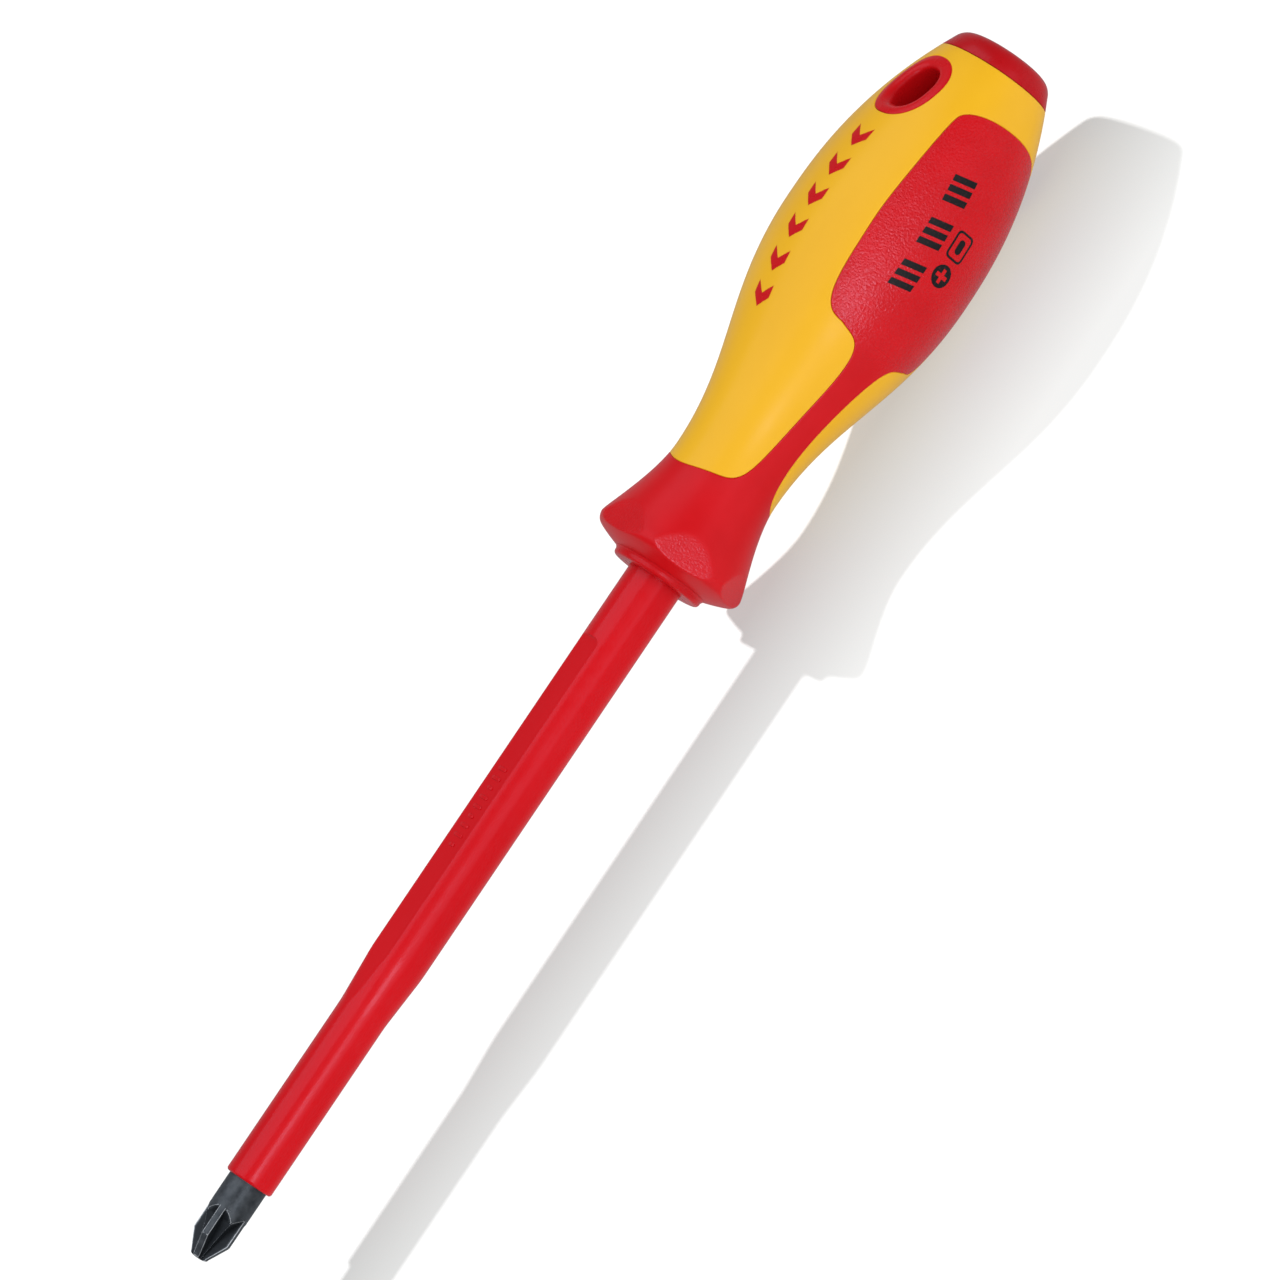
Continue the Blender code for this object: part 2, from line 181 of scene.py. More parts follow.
# Insulating sleeve
SLEEVE_START = node_box("blade_sleeve")[0][0]
SLEEVE_END, _, THICK_RADIUS = node_box("blade_sleeve")[1]
SLIM_RADIUS = 4.87
SLEEVE_BORE = 4.04
CONE_START = 54.5
CONE_END = 65.5
FLAT_END = 136.0
FLAT_RUNOUT = 1.4

# Unrolled handle: u is the azimuth from +Z towards -Y times this radius, v the length along
# the outline
UNROLL = 16.0
QUARTER = HALF_PI * UNROLL
SEAM_STEP = 0.4
GRID = 0.9
FINE_GRID = 0.32
ROW_SHARE = 0.87
CLEAR_SHARE = 0.6
FOLDED_SHARE = 0.3
PLAIN_REACH = 1.5
SHARP_REACH = 1.3


# ---- plain geometry ------------------------------------------------------------------------

def bezier_chain(curves, steps):
    """Points along cubic curves that follow on from each other."""
    points = []
    for curve in curves:
        corners = [Vector((x, y, 0.0)) for x, y in curve]
        run = interpolate_bezier(*corners, steps + 1)
        points.extend((point.x, point.y) for point in run[:-1])
    points.append(curves[-1][-1])
    return np.array(points)


def running_length(points):
    steps = np.hypot(*np.diff(points, axis=0).T)
    return np.concatenate([[0.0], np.cumsum(steps)])


OUTLINE = bezier_chain(GUARD_CURVES + HANDLE_CURVES, CURVE_STEPS)
LENGTH = running_length(OUTLINE)
SLOPE = np.gradient(OUTLINE, LENGTH, axis=0)
SLOPE /= np.hypot(*SLOPE.T)[:, None]


def length_at(x):
    return np.interp(x, OUTLINE[:, 0], LENGTH)


def radius_at(x):
    return np.interp(x, OUTLINE[:, 0], OUTLINE[:, 1])


def soft_min(a, b, softness):
    """The smaller of two values, with the change from one to the other rounded off."""
    low = np.minimum(a, b)
    return low - softness * np.log(np.exp((low - a) / softness) + np.exp((low - b) / softness))


def skin(points, sink):
    """3-D places of points (u, v) of the unrolled handle that lie some way under its surface."""
    turn = points[:, 0] / UNROLL
    v = points[:, 1]
    x = np.interp(v, LENGTH, OUTLINE[:, 0])
    radius = np.interp(v, LENGTH, OUTLINE[:, 1])
    along = np.interp(v, LENGTH, SLOPE[:, 0])
    outward = np.interp(v, LENGTH, SLOPE[:, 1])
    half = GUARD_FLAT_TURN / 2
    from_flat = np.mod(turn + half, GUARD_FLAT_TURN) - half
    flattened = soft_min(radius, GUARD_FLAT_DISTANCE / np.cos(from_flat), GUARD_EDGE)
    radius = np.where(x < GUARD_FLATS_END, flattened, radius)
    radius = radius - sink * along
    return np.stack([x + sink * outward, -radius * np.sin(turn), radius * np.cos(turn)], axis=1)


def spaced(points, step):
    """A smooth run of points, spaced evenly, with both its ends kept."""
    lengths = running_length(points)
    count = max(2, int(round(lengths[-1] / step)) + 1)
    even = np.linspace(0.0, lengths[-1], count)
    return np.stack([np.interp(even, lengths, points[:, axis]) for axis in (0, 1)], axis=1)


def split(points, step):
    """A run with corners: each straight stretch is divided and each corner kept."""
    run = [spaced(np.array(pair, float), step)[:-1] for pair in zip(points, points[1:])]
    return np.concatenate(run + [np.array(points[-1:], float)])


def rounded(corners, steps=4):
    """An open outline of (x, y, corner radius), with each corner turned into an arc."""
    points = [corners[0][:2]]
    for before, here, after in zip(corners, corners[1:], corners[2:]):
        corner = Vector(here[:2])
        radius = here[2]
        if not radius:
            points.append(here[:2])
            continue
        back = (Vector(before[:2]) - corner).normalized()
        ahead = (Vector(after[:2]) - corner).normalized()
        half = back.angle(ahead) / 2
        middle = corner + (back + ahead).normalized() * radius / math.sin(half)
        first = corner + back * radius / math.tan(half) - middle
        last = corner + ahead * radius / math.tan(half) - middle
        turn = first.angle_signed(last)
        for index in range(steps + 1):
            spun = Matrix.Rotation(-turn * index / steps, 2) @ first
            points.append(tuple(middle + spun))
    points.append(corners[-1][:2])
    return points


def oval(shape, count, start=0.0, end=math.tau):
    """A rounded oval in the XY plane, a little squarer than an ellipse."""
    middle, half_length, half_width = shape
    angles = np.linspace(start, end, count)
    power = 2 / EYE_SQUARENESS
    x = np.sign(np.cos(angles)) * np.abs(np.cos(angles)) ** power
    y = np.sign(np.sin(angles)) * np.abs(np.sin(angles)) ** power
    return np.stack([middle + half_length * x, half_width * y], axis=1)


# ---- mesh makers ---------------------------------------------------------------------------

def make_piece(name, verts, faces, material, node=None, slot=None, sharp=50.0):
    """A piece on the only body, from vertices in millimetres. It may stand for a CAD node."""
    mesh = bpy.data.meshes.new(name)
    mesh.from_pydata((np.asarray(verts) * MM).tolist(), [], faces)
    shape = bmesh.new()
    shape.from_mesh(mesh)
    bmesh.ops.remove_doubles(shape, verts=shape.verts, dist=0.000001)
    bmesh.ops.recalc_face_normals(shape, faces=shape.faces)
    shape.to_mesh(mesh)
    shape.free()
    mesh.shade_smooth()
    mesh.set_sharp_from_angle(angle=math.radians(sharp))
    mesh.materials.append(material)
    piece = bpy.data.objects.new(name, mesh)
    bpy.context.scene.collection.objects.link(piece)
    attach(piece, "root")
    if node:
        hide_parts(node)
    return piece


def loft(rings, ring=False):
    """Quads between rings of points. The ends are closed with fans unless the loft is a ring."""
    rings = np.asarray(rings)
    rows, around = rings.shape[:2]
    verts = rings.reshape(-1, 3)
    faces = []
    for row in range(rows if ring else rows - 1):
        here = row * around
        there = (row + 1) % rows * around
        for index in range(around):
            ahead = (index + 1) % around
            faces.append((here + index, here + ahead, there + ahead, there + index))
    if not ring:
        for row in (0, rows - 1):
            verts = np.concatenate([verts, rings[row].mean(axis=0)[None]])
            base = row * around
            for index in range(around):
                faces.append((base + index, base + (index + 1) % around, len(verts) - 1))
    return verts, faces


def circle(x, radius, angles):
    """Points round the tool's axis. Their radius may differ from angle to angle."""
    return np.stack([np.full(len(angles), x), -radius * np.sin(angles), radius * np.cos(angles)],
                    axis=1)


def lathe(profile, around=128, ring=False):
    """A profile of (x, radius) points, turned round the tool's axis."""
    angles = np.linspace(0.0, math.tau, around, endpoint=False)
    return loft([circle(x, radius, angles) for x, radius in profile], ring)


def mirrored(verts, faces, axis):
    """A half mesh and its mirror image across the plane where that coordinate is zero."""
    other = verts.copy()
    other[:, axis] *= -1
    shifted = [tuple(index + len(verts) for index in reversed(face)) for face in faces]
    return np.concatenate([verts, other]), faces + shifted


def joined(*meshes):
    verts = np.zeros((0, 3))
    faces = []
    for more_verts, more_faces in meshes:
        faces += [tuple(index + len(verts) for index in face) for face in more_faces]
        verts = np.concatenate([verts, more_verts])
    return verts, faces


def inside(points, loops):
    """Which points lie inside the outlines, by the even-odd rule."""
    result = np.zeros(len(points), bool)
    px, py = points[:, 0], points[:, 1]
    for loop in loops:
        for (x0, y0), (x1, y1) in zip(loop, np.roll(loop, -1, axis=0)):
            if y0 == y1:
                continue
            crosses = ((y0 > py) != (y1 > py)) & (px < (x1 - x0) * (py - y0) / (y1 - y0) + x0)
            result ^= crosses
    return result


def edge_reach(points, seams):
    """For each point of an anticlockwise loop, the way out of it across the seams beside it.
    A loop's end on a mirror plane moves along that plane."""
    x = np.interp(points[:, 1], LENGTH, OUTLINE[:, 0])
    stretch = radius_at(x) / UNROLL
    ahead = (np.roll(points, -1, axis=0) - points) * np.stack([stretch, np.ones(len(x))], axis=1)
    ahead /= np.hypot(*ahead.T)[:, None]
    out = np.stack([ahead[:, 1], -ahead[:, 0]], axis=1)
    reach = np.zeros_like(points)
    for index in range(len(points)):
        before, after = out[index - 1], out[index]
        if seams[index - 1] and seams[index]:
            reach[index] = (before + after) / (1 + before @ after)
        elif seams[index - 1]:
            reach[index] = (0.0, 1 / before[1])
        elif seams[index]:
            reach[index] = (0.0, 1 / after[1])
    reach[:, 0] /= stretch
    return reach


def settled(points, seams, distance):
    """A loop without the plain points that moving it inwards would push past a corner, the
    way out of it at each point, and the loop moved inwards."""
    while True:
        reach = edge_reach(points, seams)
        border = points - reach * distance
        ahead = np.roll(points, -1, axis=0) - points
        moved = np.roll(border, -1, axis=0) - border
        folded = np.sum(ahead * moved, axis=1) < FOLDED_SHARE * np.sum(ahead * ahead, axis=1)
        drop = set()
        for index in np.flatnonzero(folded):
            for place in (index, (index + 1) % len(points)):
                limit = SHARP_REACH if seams[place] else PLAIN_REACH
                plain = seams[place - 1] == seams[place] and np.hypot(*reach[place]) < limit
                if plain and place not in drop:
                    drop.add(place)
                    break
        if not drop:
            return points, seams, reach, border
        keep = [index for index in range(len(points)) if index not in drop]
        points = points[keep]
        seams = [seams[index] for index in keep]


def triangulated(borders, bands):
    """Points (u, v) and triangles that fill the outlines, finer in some bands of v."""
    fixed = np.concatenate(borders)
    tree = KDTree(len(fixed))
    for index, (u, v) in enumerate(fixed):
        tree.insert((u, v, 0.0), index)
    tree.balance()
    low, high = fixed.min(axis=0), fixed.max(axis=0)
    grid = []
    for start, end, step in bands or ((low[1], high[1], GRID),):
        rows = np.arange(max(start, low[1]) + step / 2, min(end, high[1]), step * ROW_SHARE)
        for count, v in enumerate(rows):
            stretch = radius_at(np.interp(v, LENGTH, OUTLINE[:, 0])) / UNROLL
            shift = step / stretch * (0.5 if count % 2 else 1.0)
            for u in np.arange(low[0] + shift, high[0], step / stretch):
                if tree.find((u, v, 0.0))[2] > CLEAR_SHARE * step:
                    grid.append((u, v))
    grid = np.array(grid).reshape(-1, 2)
    grid = grid[inside(grid, borders)] if len(grid) else grid
    flat = np.concatenate([fixed, grid])
    edges = []
    base = 0
    for border in borders:
        count = len(border)
        edges += [(base + index, base + (index + 1) % count) for index in range(count)]
        base += count
    result = delaunay_2d_cdt([Vector(point) for point in flat], edges, [], 0, 1e-6)
    origin = [sources[0] for sources in result[3]]
    triangles = np.array([[origin[index] for index in face] for face in result[2]])
    return flat, triangles[inside(flat[triangles].mean(axis=1), borders)]


def patch(loops, edge=SEAM_ROUNDING, gap=SEAM_GAP, depth=1.1, lift=0.0, inner=0.2, bands=None):
    """A closed plate on the handle's surface. Each loop is a list of (is a seam, points) runs,
    the first one anticlockwise and the holes clockwise. A seam gets a rounded edge and a wall."""
    borders, reaches, seam_lists = [], [], []
    for runs in loops:
        points = np.concatenate([run[:-1] for _, run in runs])
        seams = [seam for seam, run in runs for _ in run[:-1]]
        points, seams, reach, border = settled(points, seams, edge + gap + inner)
        borders.append(border)
        reaches.append(reach)
        seam_lists.append(seams)
    flat, triangles = triangulated(borders, bands)
    total = len(flat)
    verts = [skin(flat, -lift), skin(flat, depth)]
    faces = [tuple(face) for face in triangles]
    faces += [tuple(index + total for index in reversed(face)) for face in triangles.tolist()]
    rows = [(inner, -lift)]
    rows += [(inner + edge * math.sin(turn), edge * (1 - math.cos(turn)) - lift)
             for turn in (math.radians(30), math.radians(60), HALF_PI)]
    rows.append((inner + edge, depth))
    row_base = 2 * total
    base = 0
    for border, reach, seams in zip(borders, reaches, seam_lists):
        count = len(border)
        for out, sink in rows:
            verts.append(skin(border + reach * out, np.full(count, sink)))
        steps = [base] + [row_base + index * count for index in range(len(rows))] + [base + total]
        for index, seam in enumerate(seams):
            if not seam:
                continue
            ahead = (index + 1) % count
            for top, bottom in zip(steps, steps[1:]):
                faces.append((top + index, top + ahead, bottom + ahead, bottom + index))
        row_base += count * len(rows)
        base += count
    verts = np.concatenate(verts)
    used = sorted({index for face in faces for index in face})
    place = {index: count for count, index in enumerate(used)}
    return verts[used], [tuple(place[index] for index in face) for face in faces]


# ---- outlines on the unrolled handle -------------------------------------------------------

def grip_seam():
    """The seam between the shell and the grip, from the middle of the cheek to the panel's top."""
    first = bezier_chain(GRIP_CURVES[:1], 1000)
    start = np.argmax(first[:, 1] < radius_at(first[:, 0]))
    ratio = (first[start - 1:start + 1, 1] / radius_at(first[start - 1:start + 1, 0]))
    share = (ratio[0] - 1) / (ratio[0] - ratio[1])
    meeting = first[start - 1] + share * (first[start] - first[start - 1])
    meeting[1] = radius_at(meeting[0])
    near = meeting + (first[start] - meeting) * np.linspace(0.0, 1.0, 41)[:, None] ** 2
    rest = np.concatenate([first[start + 1:-1], bezier_chain(GRIP_CURVES[1:], 200)])
    points = np.concatenate([near, rest])
    turn = np.arccos(np.clip(points[:, 1] / radius_at(points[:, 0]), 0.0, 1.0))
    turn[0], turn[-1] = 0.0, HALF_PI
    return spaced(np.stack([turn * UNROLL, length_at(points[:, 0])], axis=1), SEAM_STEP)


def on_cheek(points):
    """Unrolled places of points (x, y) seen along Z."""
    points = np.asarray(points, float)
    turn = np.arcsin(points[:, 1] / radius_at(points[:, 0]))
    return np.stack([turn * UNROLL, length_at(points[:, 0])], axis=1)


def on_panel(points):
    """Unrolled places of points (x, width across) on the panel that faces -Y."""
    points = np.asarray(points, float)
    turn = HALF_PI + points[:, 1] / radius_at(points[:, 0])
    return np.stack([turn * UNROLL, length_at(points[:, 0])], axis=1)


def arrow(middle):
    """Half of an arrow that points at the tip, from its nose round to its notch."""
    back = middle + MARK_SLANT / 2
    front = middle - MARK_SLANT / 2
    stroke = MARK_STROKE / 2
    return [(front - stroke, 0.0), (back - stroke, MARK_HALF_WIDTH),
            (back + stroke, MARK_HALF_WIDTH), (front + stroke, 0.0)]


def straight(start, end, step=SEAM_STEP):
    return spaced(np.array([start, end], float), step)


# ---- materials -----------------------------------------------------------------------------

PLASTIC_GLOSS = (0.70, 0.80, 1.0, 1.0)


class Finish:
    """A node material under construction: a Principled shader with object coordinates."""

    def __init__(self, name, constants):
        self.material = bpy.data.materials.new(name)
        self.material.use_nodes = True
        self.nodes = self.material.node_tree.nodes
        self.links = self.material.node_tree.links
        self.shader = self.nodes["Principled BSDF"]
        self.place = self.nodes.new("ShaderNodeTexCoord").outputs["Object"]
        for socket, value in constants.items():
            self.shader.inputs[socket].default_value = value

    def noise(self, size, detail=2.0, stretch=(1.0, 1.0, 1.0)):
        """Noise whose features are about this many millimetres across."""
        mapping = self.nodes.new("ShaderNodeMapping")
        mapping.inputs["Scale"].default_value = stretch
        self.links.new(self.place, mapping.inputs["Vector"])
        texture = self.nodes.new("ShaderNodeTexNoise")
        texture.inputs["Scale"].default_value = 1.0 / (size * MM)
        texture.inputs["Detail"].default_value = detail
        self.links.new(mapping.outputs["Vector"], texture.inputs["Vector"])
        return texture.outputs["Fac"]

    def ramp(self, value, low, high, start, end, smooth=False):
        node = self.nodes.new("ShaderNodeMapRange")
        node.interpolation_type = "SMOOTHSTEP" if smooth else "LINEAR"
        for name, number in (("From Min", low), ("From Max", high), ("To Min", start), ("To Max", end)):
            node.inputs[name].default_value = number
        self.links.new(value, node.inputs["Value"])
        return node.outputs["Result"]

    def blend(self, factor, first, second):
        node = self.nodes.new("ShaderNodeMix")
        node.data_type = "RGBA"
        self.links.new(factor, node.inputs["Factor"])
        for socket, value in ((node.inputs[6], first), (node.inputs[7], second)):
            if hasattr(value, "node"):
                self.links.new(value, socket)
            else:
                socket.default_value = (*value, 1.0)
        return node.outputs[2]

    def bump(self, height, depth, before=None):
        """A bump whose full height is this many millimetres."""
        node = self.nodes.new("ShaderNodeBump")
        node.inputs["Distance"].default_value = depth * MM
        self.links.new(height, node.inputs["Height"])
        if before is not None:
            self.links.new(before, node.inputs["Normal"])
        return node.outputs["Normal"]

    def feed(self, value, socket):
        self.links.new(value, self.shader.inputs[socket])


def smooth_plastic(name, dark, light, roughness):
    """Injection-moulded plastic: soft clouds in its colour and a faint uneven gloss."""
    finish = Finish(name, {"IOR": 1.5, "Specular IOR Level": 0.26, "Specular Tint": PLASTIC_GLOSS})
    clouds = finish.noise(14.0, 3.0, (0.35, 1.0, 1.0))
    finish.feed(finish.blend(finish.ramp(clouds, 0.3, 0.7, 0.0, 1.0), dark, light), "Base Color")
    patches = finish.noise(2.5, 4.0)
    finish.feed(finish.ramp(patches, 0.3, 0.7, roughness - 0.03, roughness + 0.04), "Roughness")
    ripples = finish.bump(finish.noise(3.0, 1.0, (0.5, 1.0, 1.0)), 0.003)
    grain = finish.bump(finish.noise(0.22, 2.0), 0.0035, ripples)
    finish.feed(grain, "Normal")
    return finish.material


def grained_plastic(name, dark, light):
    """Soft overmould: satin, with a spark-eroded grain where the mesh's "grain" is 1."""
    finish = Finish(name, {"IOR": 1.5, "Specular Tint": PLASTIC_GLOSS})
    grained = finish.nodes.new("ShaderNodeAttribute")
    grained.attribute_name = "grain"
    grain = finish.noise(0.42, 2.0)
    clouds = finish.noise(9.0, 3.0)
    finish.feed(finish.blend(finish.ramp(clouds, 0.3, 0.7, 0.0, 1.0), dark, light), "Base Color")
    finish.feed(finish.ramp(grained.outputs["Fac"], 0.0, 1.0, 0.34, 0.27), "Roughness")
    finish.feed(finish.ramp(grained.outputs["Fac"], 0.0, 1.0, 0.22, 0.36), "Specular IOR Level")
    ripples = finish.bump(finish.noise(3.0, 1.0, (0.5, 1.0, 1.0)), 0.006)
    coarse = finish.bump(grain, 0.19, ripples)
    finish.links.new(grained.outputs["Fac"], coarse.node.inputs["Strength"])
    finish.feed(finish.bump(finish.noise(0.18, 1.0), 0.006, coarse), "Normal")
    return finish.material


def burnished_steel(name):
    """Dark burnished steel. It is lighter where the tip's edges are worn bright (mesh attribute at 1)
    and darkened as painted shade in its flutes (attribute at -1).
    """
    finish = Finish(name, {"Metallic": 0.65, "Specular IOR Level": 0.5})
    wear_and_shade = finish.nodes.new("ShaderNodeAttribute")
    wear_and_shade.attribute_name = "wear_and_shade"
    scratches = finish.noise(0.5, 4.0, (1.0, 3.0, 3.0))
    breaking = finish.nodes.new("ShaderNodeMath")
    breaking.operation = "MULTIPLY"
    finish.links.new(wear_and_shade.outputs["Fac"], breaking.inputs[0])
    finish.links.new(finish.ramp(scratches, 0.3, 0.6, 0.45, 1.25), breaking.inputs[1])
    worn = finish.ramp(breaking.outputs[0], 0.18, 0.62, 0.0, 1.0, True)
    mottle = finish.ramp(finish.noise(1.6, 5.0), 0.3, 0.7, 0.0, 1.0)
    base = finish.blend(mottle, (0.048, 0.055, 0.063), (0.104, 0.114, 0.126))
    # Painted shade: where the attribute falls below zero, in the flutes, the steel is darkened.
    flute_shade = finish.ramp(wear_and_shade.outputs["Fac"], -0.9, -0.2, 1.0, 0.0)
    base = finish.blend(flute_shade, base, (0.022, 0.026, 0.031))
    finish.feed(finish.blend(worn, base, (0.62, 0.64, 0.66)), "Base Color")
    finish.feed(finish.ramp(mottle, 0.0, 1.0, 0.38, 0.52), "Roughness")
    turned = finish.bump(finish.noise(0.35, 3.0, (3.0, 0.6, 0.6)), 0.010)
    finish.feed(turned, "Normal")
    return finish.material


def printed_ink(name):
    """Black pad-printing ink, slightly broken where it lies on the grain."""
    finish = Finish(name, {"IOR": 1.45})
    speckle = finish.noise(0.4, 3.0)
    tone = finish.ramp(speckle, 0.55, 0.75, 0.0, 1.0)
    finish.feed(finish.blend(tone, (0.010, 0.009, 0.010), (0.045, 0.018, 0.020)), "Base Color")
    finish.feed(finish.ramp(speckle, 0.3, 0.7, 0.40, 0.55), "Roughness")
    finish.feed(finish.bump(speckle, 0.03), "Normal")
    return finish.material


def pale_floor(name):
    """A white floor with painted light: it glows a little, so that shadows on it stay pale and neutral.
    """
    finish = Finish(name, {"Roughness": 1.0, "Specular IOR Level": 0.0})
    tone = finish.ramp(finish.noise(60.0, 2.0), 0.3, 0.7, 0.0, 1.0)
    finish.feed(finish.blend(tone, (0.24, 0.24, 0.24), (0.26, 0.26, 0.26)), "Base Color")
    split_place = finish.nodes.new("ShaderNodeSeparateXYZ")
    finish.links.new(finish.place, split_place.inputs[0])
    # Painted light: the glow grows towards -Y, lightening the tool's shadow where it fades. It grows
    # again far from the tool, so that the floor stays white.
    near = finish.ramp(split_place.outputs["Y"], -0.042, -0.004, 0.84, 0.49)
    away = finish.nodes.new("ShaderNodeVectorMath")
    away.operation = "LENGTH"
    finish.links.new(finish.place, away.inputs[0])
    far = finish.ramp(away.outputs["Value"], 0.27, 0.6, 0.0, 1.1)
    glow = finish.nodes.new("ShaderNodeMath")
    glow.operation = "MAXIMUM"
    finish.links.new(near, glow.inputs[0])
    finish.links.new(far, glow.inputs[1])
    finish.shader.inputs["Emission Color"].default_value = (0.99, 1.0, 0.985, 1.0)
    finish.feed(glow.outputs[0], "Emission Strength")
    return finish.material


YELLOW = smooth_plastic("yellow_moulded", (0.86, 0.445, 0.010), (0.91, 0.485, 0.016), 0.32)
RED = smooth_plastic("red_moulded", (0.56, 0.003, 0.005), (0.62, 0.005, 0.008), 0.28)
# Painted shade: a darker copy of the red for the butt cap, whose end gets less light.
SHADED_CAP_RED = smooth_plastic("red_cap_shaded", (0.44, 0.003, 0.005), (0.50, 0.005, 0.008), 0.28)
SLEEVE_RED = smooth_plastic("red_sleeve", (0.59, 0.003, 0.006), (0.65, 0.005, 0.009), 0.22)
SOFT_RED = grained_plastic("red_soft_grain", (0.60, 0.003, 0.005), (0.66, 0.005, 0.008))
STEEL = burnished_steel("burnished_steel")
INK = printed_ink("black_print")


# ---- the handle ----------------------------------------------------------------------------

def grain_at(places):
    """How grained the soft grip is: fully on its panels and less on the guard's flats."""
    x, y, z = places.T
    from_flat = np.mod(np.arctan2(y, z) + GUARD_FLAT_TURN / 2, GUARD_FLAT_TURN) - GUARD_FLAT_TURN / 2
    cut = radius_at(x) - GUARD_FLAT_DISTANCE / np.cos(from_flat)
    panel_start, panel_full = GRAIN_EDGE
    on_panels = np.clip((x - panel_start) / (panel_full - panel_start), 0.0, 1.0)
    on_flats = np.clip(cut / GUARD_EDGE, 0.0, 1.0) * (x < GUARD_FLATS_END)
    return np.maximum(GUARD_GRAIN * on_flats, on_panels)


def make_shell_and_grip():
    """The yellow shell's four quarters and the soft grip's four, joined where they mirror."""
    grip_edge = grip_seam()
    front, panel_top = grip_edge[0, 1], grip_edge[-1, 1]
    joint = length_at(CAP_JOINT)
    guard_end = length_at(GUARD_FINE_END)
    bands = ((0.0, guard_end, FINE_GRID), (guard_end, joint, GRID))

    def cheek(notches):
        """The shell's quarter between the grip and the cap, cut in along the cheek's middle."""
        runs = [(True, grip_edge), (False, straight((QUARTER, panel_top), (QUARTER, joint))),
                (True, straight((QUARTER, joint), (0.0, joint)))]
        level = joint
        for notch in notches:
            runs.append((False, straight((0.0, level), notch[0])))
            runs.append((True, notch))
            level = notch[-1, 1]
        runs.append((False, straight((0.0, level), (0.0, front))))
        return patch([runs], bands=((0.0, joint, GRID),))

    hole = spaced(on_cheek(oval(EYE_OUTSIDE, 400, 0.0, math.pi)), SEAM_STEP)
    hole[0, 0] = hole[-1, 0] = 0.0
    marks = []
    for index in reversed(range(MARK_COUNT)):
        outline = list(reversed(arrow(MARK_FIRST + MARK_PITCH * index)))
        marks.append(split(on_cheek(outline), SEAM_STEP))
    top, top_faces = cheek([hole] + marks)
    bottom, bottom_faces = cheek([hole])
    bottom = bottom * np.array([1.0, 1.0, -1.0])
    shell = joined(mirrored(top, top_faces, 1), mirrored(bottom, bottom_faces, 1))
    make_piece("yellow_shell", *shell, YELLOW, "handle_shell", "yellow_plastic")

    runs = [(True, straight((0.0, 0.0), (QUARTER, 0.0))),
            (False, straight((QUARTER, 0.0), (QUARTER, panel_top))),
            (True, grip_edge[::-1]), (False, straight((0.0, front), (0.0, 0.0)))]
    quarter = patch([runs], bands=bands)
    grip = mirrored(*mirrored(*quarter, 1), 2)
    piece = make_piece("soft_handle", *grip, SOFT_RED, "soft_grip", "soft_red")
    layer = piece.data.attributes.new("grain", "FLOAT", "POINT")
    layer.data.foreach_set("value", grain_at(np.array([vertex.co for vertex in piece.data.vertices])
                                             / MM))


def make_arrows():
    """Red arrows, flush with the upper cheek, each in its own cut in the shell."""
    for index in range(MARK_COUNT):
        half = arrow(MARK_FIRST + MARK_PITCH * index)
        other = [(x, -y) for x, y in reversed(half[1:-1])]
        outline = on_cheek(half + other + half[:1])
        plate = patch([[(True, split(outline, SEAM_STEP)[::-1])]], edge=0.12, inner=0.12,
                      bands=((outline[:, 1].min(), outline[:, 1].max(), 0.6),))
        make_piece("arrow_%d" % (index + 1), *plate, RED, "mark_inlay_%d" % (index + 1),
                   "red_plastic")


def make_eye():
    """The rounded lining of the hanging hole, swept round its oval and open from side to side."""
    around = 120
    middle, half_length, half_width = EYE_OUTSIDE
    outside = oval((middle, half_length - SEAM_GAP, half_width - SEAM_GAP), around + 1)[:-1]
    bore = oval(EYE_INSIDE, around + 1)[:-1]
    width = half_width - EYE_INSIDE[2]
    edge = 0.15
    rows = [(0.0, 2.6), (0.0, 1.2)]
    rows += [(edge * (1 - math.cos(turn)), edge * (1 - math.sin(turn)))
             for turn in np.radians((0, 30, 60, 90))]
    rows += [(0.4, 0.0), (width - EYE_LIP - 0.1, 0.0)]
    rows += [(width - EYE_LIP * (1 - math.sin(turn)), EYE_LIP * (1 - math.cos(turn)))
             for turn in np.radians(np.arange(0, 91, 10))]
    rows += [(width, 3.5), (width, 6.0), (width, 9.0)]
    rings = []
    for across, down in rows:
        share = across / width
        plan = outside * (1 - share) + bore * share
        level = np.sqrt(radius_at(plan[:, 0]) ** 2 - plan[:, 1] ** 2) - down
        rings.append(np.column_stack([plan, level]))
    rings += [ring * np.array([1.0, 1.0, -1.0]) for ring in reversed(rings)]
    make_piece("hanging_eye", *loft(rings, ring=True), RED, "hanger_eye", "red_plastic")


def make_cap():
    """The cap from its spigot to its flat end. Its skirt follows the handle's outline."""
    edge, start = SEAM_ROUNDING, CAP_JOINT + SEAM_GAP
    rim = radius_at(start + edge)
    profile = [(CAP_START + 0.1, CAP_SPIGOT_RADIUS), (start, CAP_SPIGOT_RADIUS),
               (start, 1.2 * CAP_SPIGOT_RADIUS)]
    profile += [(start + edge * (1 - math.cos(turn)), rim - edge * (1 - math.sin(turn)))
                for turn in np.radians((0, 30, 60, 90))]
    profile += [tuple(point) for point in OUTLINE[::3] if point[0] > start + 2 * edge]
    profile += [(CAP_END, radius) for radius in (CAP_FACE_RADIUS, 4.0, 1.5)]
    # The cap takes the darker red, which is painted shade for the butt end.
    make_piece("butt_cap", *lathe(profile), SHADED_CAP_RED, "end_cap", "red_plastic")


# ---- the blade end -------------------------------------------------------------------------

